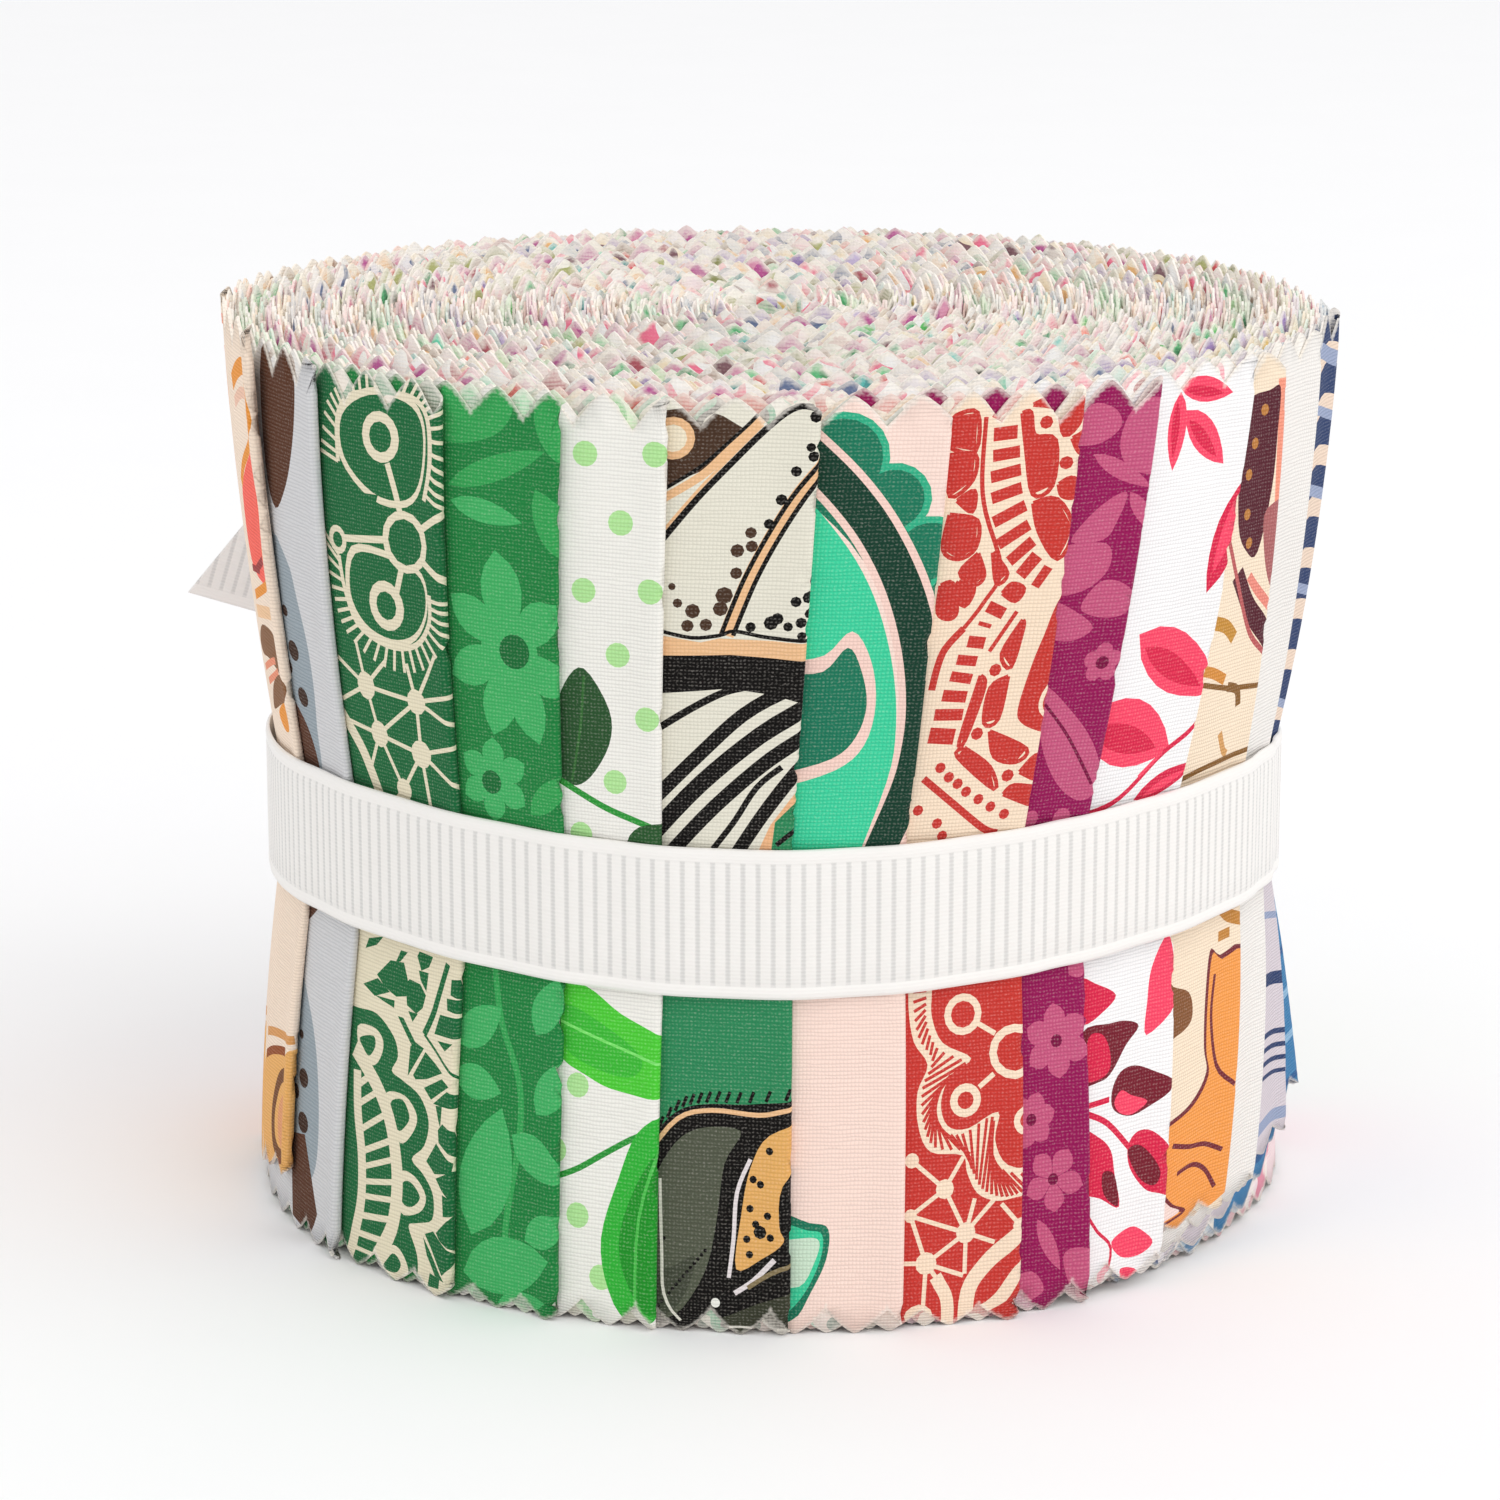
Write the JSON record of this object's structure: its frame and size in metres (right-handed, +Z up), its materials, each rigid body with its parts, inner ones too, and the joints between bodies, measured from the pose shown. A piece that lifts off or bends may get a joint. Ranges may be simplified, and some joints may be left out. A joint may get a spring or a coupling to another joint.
{
  "type": "precut quilting strip roll",
  "caption": "Upright roll of folded, pinked cotton strips in mixed prints, wound together in one spiral and bound at the waist with a narrow white ribbon knotted at the back.",
  "frame": {"origin": "centre of the whole footprint, at the foot the roll stands on", "axes": "+Z up along the roll's axis, -Y towards the front, with the knot at the back on +Y"},
  "size_m": [0.0862, 0.084, 0.0635],
  "materials": {
    "cloth_coral_petals": "matte printed cotton",
    "cloth_grey_leaves": "matte printed cotton",
    "cloth_green_lace": "matte printed cotton",
    "cloth_green_foliage": "matte printed cotton",
    "cloth_dotted_leaves": "matte printed cotton",
    "cloth_butterfly_wing": "matte printed cotton",
    "cloth_teal_scallops": "matte printed cotton",
    "cloth_red_lace": "matte printed cotton",
    "cloth_magenta_petals": "matte printed cotton",
    "cloth_crimson_leaves": "matte printed cotton",
    "cloth_ochre_botanical": "matte printed cotton",
    "cloth_plain_cream": "matte printed cotton",
    "cloth_navy_blossom": "matte printed cotton",
    "cloth_blue_ripples": "matte printed cotton",
    "cloth_pink_lace": "matte printed cotton",
    "cloth_mint_dots": "matte printed cotton",
    "cloth_mustard_scallops": "matte printed cotton",
    "cloth_teal_foliage": "matte printed cotton",
    "cloth_lilac_petals": "matte printed cotton",
    "cloth_red_blossom": "matte printed cotton",
    "cloth_olive_leaves": "matte printed cotton",
    "cloth_navy_lace": "matte printed cotton",
    "cloth_rose_dots": "matte printed cotton",
    "cloth_apricot_botanical": "matte printed cotton",
    "ribbon": "ribbed grosgrain, slightly sheer"
  },
  "bodies": {
    "roll": {"strip_coral_petals": "cloth_coral_petals", "strip_grey_leaves": "cloth_grey_leaves", "strip_green_lace": "cloth_green_lace", "strip_green_foliage": "cloth_green_foliage", "strip_dotted_leaves": "cloth_dotted_leaves", "strip_butterfly_wing": "cloth_butterfly_wing", "strip_teal_scallops": "cloth_teal_scallops", "strip_red_lace": "cloth_red_lace", "strip_magenta_petals": "cloth_magenta_petals", "strip_crimson_leaves": "cloth_crimson_leaves", "strip_ochre_botanical": "cloth_ochre_botanical", "strip_plain_cream": "cloth_plain_cream", "strip_navy_blossom": "cloth_navy_blossom", "strip_blue_ripples": "cloth_blue_ripples", "strip_pink_lace": "cloth_pink_lace", "strip_mint_dots": "cloth_mint_dots", "strip_mustard_scallops": "cloth_mustard_scallops", "strip_teal_foliage": "cloth_teal_foliage", "strip_lilac_petals": "cloth_lilac_petals", "strip_red_blossom": "cloth_red_blossom", "strip_olive_leaves": "cloth_olive_leaves", "strip_navy_lace": "cloth_navy_lace", "strip_rose_dots": "cloth_rose_dots", "strip_apricot_botanical": "cloth_apricot_botanical"},
    "ribbon": {"ribbon_band": "ribbon", "ribbon_knot": "ribbon", "ribbon_tail_long": "ribbon", "ribbon_tail_short": "ribbon"}
  },
  "joints": [
    {"name": "ribbon_slide", "type": "slide", "parent": "roll", "child": "ribbon", "axis": [0, 0, 1], "range_m": [0, 0.045]}
  ]
}
